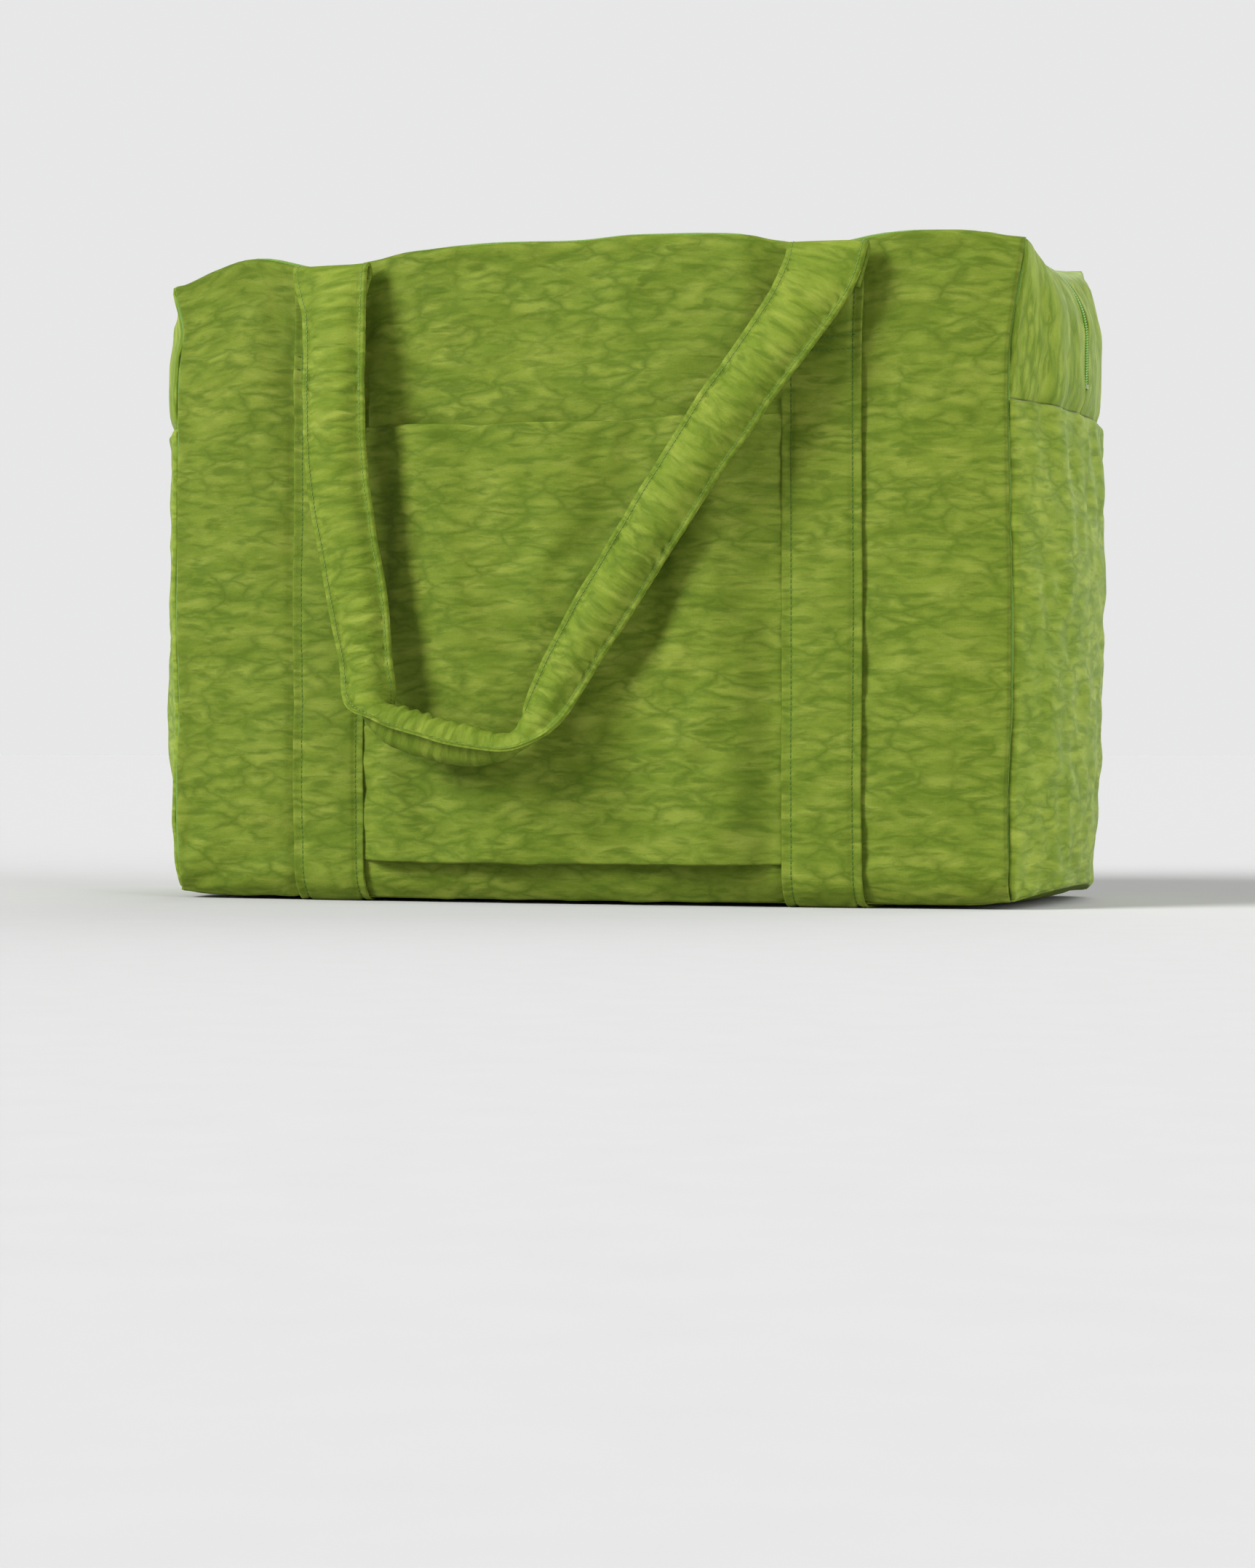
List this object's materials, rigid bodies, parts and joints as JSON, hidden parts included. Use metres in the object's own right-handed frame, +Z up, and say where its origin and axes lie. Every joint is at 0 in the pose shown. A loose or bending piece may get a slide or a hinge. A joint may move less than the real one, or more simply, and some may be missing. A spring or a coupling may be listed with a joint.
{
  "type": "carry-on bag with luggage strap",
  "caption": "Soft zipped carry-on bag whose rear luggage strap panel slips over a trolley handle, with padded handles on sewn bands.",
  "frame": {"origin": "on the resting plane under the middle of the bag", "axes": "+X along the width, +Y from the rear panel with the luggage strap to the front panel, +Z up"},
  "size_m": [0.5446, 0.3404, 0.3654],
  "materials": {
    "panel_nylon": "mottled green crinkled nylon",
    "gusset_nylon": "mottled green crinkled nylon, the zip and side gussets",
    "strap_nylon": "mottled green nylon, doubled and edge stitched",
    "strap_panel_nylon": "mottled green crinkled nylon, doubled",
    "zip_coil": "moulded nylon coil, brighter green",
    "zip_tape": "woven tape",
    "slider_metal": "dark green enamel",
    "handle_foam": "closed-cell foam",
    "binding": "ribbed bias tape",
    "thread": "bonded thread"
  },
  "bodies": {
    "bag": {"rear_panel": "panel_nylon", "front_panel": "panel_nylon", "base_panel": "panel_nylon", "side_gusset_left": "gusset_nylon", "side_gusset_right": "gusset_nylon", "zip_gusset_left_rear": "gusset_nylon", "zip_gusset_left_front": "gusset_nylon", "zip_gusset_right_rear": "gusset_nylon", "zip_gusset_right_front": "gusset_nylon", "zip_tape_left": "zip_tape", "zip_tape_right": "zip_tape", "zip_coil_left": "zip_coil", "zip_coil_right": "zip_coil", "zip_bartack_left": "thread", "zip_bartack_right": "thread", "seam_binding_rear": "binding", "seam_binding_front": "binding", "strap_band_left": "strap_nylon", "strap_band_right": "strap_nylon", "luggage_strap_panel": "strap_panel_nylon", "front_pocket_panel": "panel_nylon"},
    "rear_handle": {"rear_handle_cover": "strap_nylon", "rear_handle_foam": "handle_foam"},
    "front_handle": {"front_handle_cover": "strap_nylon", "front_handle_foam": "handle_foam"},
    "rear_flap": {"zip_flap_rear": "gusset_nylon", "flap_tape_rear": "zip_tape", "flap_coil_rear": "zip_coil"},
    "front_flap": {"zip_flap_front": "gusset_nylon", "flap_tape_front": "zip_tape", "flap_coil_front": "zip_coil"},
    "slider": {"zip_slider": "slider_metal"},
    "pull": {"zip_pull": "slider_metal"}
  },
  "joints": [
    {"name": "rear_handle_swing", "type": "hinge", "parent": "bag", "child": "rear_handle", "pos_m": [0, -0.116, 0.36], "axis": [-1, 0, 0], "range_deg": [0, 175]},
    {"name": "front_handle_swing", "type": "hinge", "parent": "bag", "child": "front_handle", "pos_m": [0, 0.116, 0.36], "axis": [1, 0, 0], "range_deg": [0, 175]},
    {"name": "rear_flap_open", "type": "hinge", "parent": "bag", "child": "rear_flap", "pos_m": [0, -0.1125, 0.366], "axis": [1, 0, 0], "range_deg": [0, 60]},
    {"name": "front_flap_open", "type": "hinge", "parent": "bag", "child": "front_flap", "pos_m": [0, 0.1125, 0.366], "axis": [-1, 0, 0], "range_deg": [0, 60]},
    {"name": "slider_run", "type": "slide", "parent": "bag", "child": "slider", "axis": [0, 0, 1], "range_m": [0, 0.024]},
    {"name": "pull_swing", "type": "hinge", "parent": "slider", "child": "pull", "pos_m": [-0.27175, 0, 0.3034], "axis": [0, 1, 0], "range_deg": [0, 170]}
  ]
}
